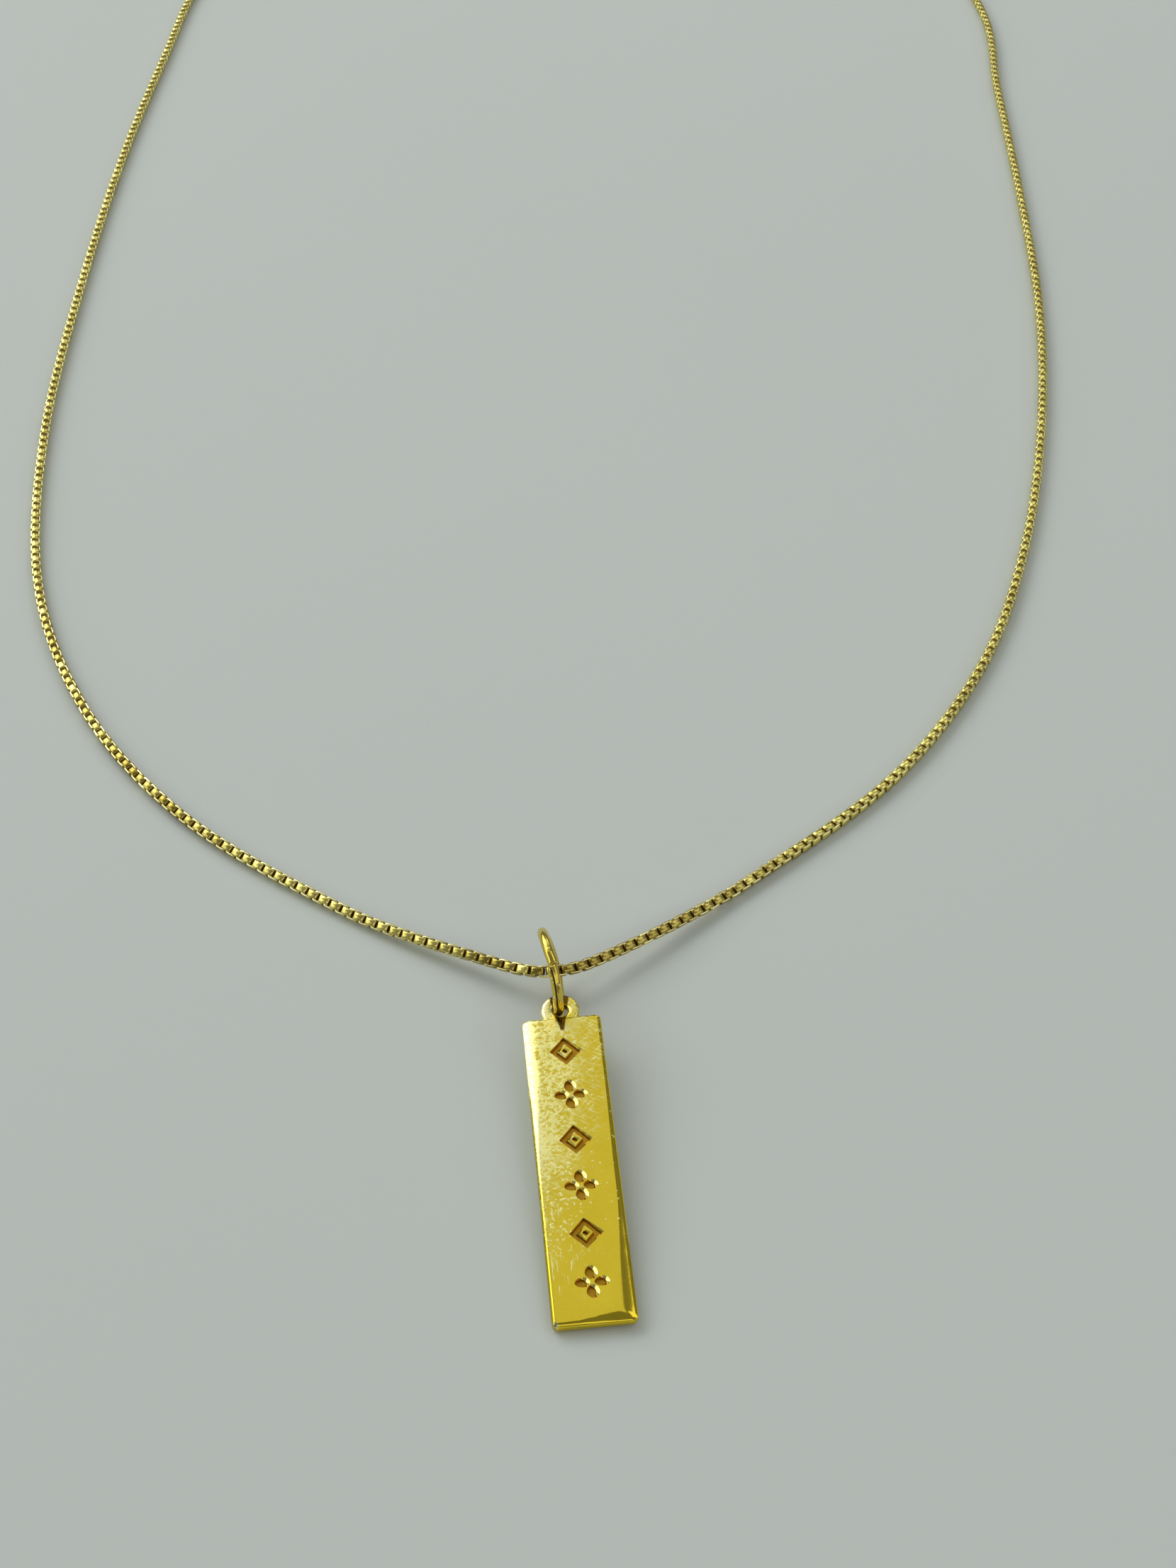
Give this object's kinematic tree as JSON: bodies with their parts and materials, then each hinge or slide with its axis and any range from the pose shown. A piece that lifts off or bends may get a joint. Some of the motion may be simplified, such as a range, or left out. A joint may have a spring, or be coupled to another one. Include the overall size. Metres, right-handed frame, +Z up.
{
  "type": "plate necklace",
  "caption": "Fine box chain necklace, laid in a loop, with an upright engraved bar hung from a jump ring and a plain ring clasp at the back.",
  "frame": {"origin": "centre of the necklace's outline where it lies, on the surface that it lies on", "axes": "+Z up; +Y from the plate toward the clasp; +X to the right as seen from the plate's end"},
  "size_m": [0.0981, 0.2342, 0.0068],
  "materials": {
    "polished_gold": "polished yellow gold with fine scratches",
    "ring_gold": "polished yellow gold wire",
    "chain_gold": "pale polished gold strip links",
    "clasp_gold": "polished yellow gold"
  },
  "bodies": {
    "root": {"plate": "polished_gold", "jump_ring": "ring_gold", "chain": "chain_gold", "clasp": "clasp_gold"}
  },
  "joints": []
}
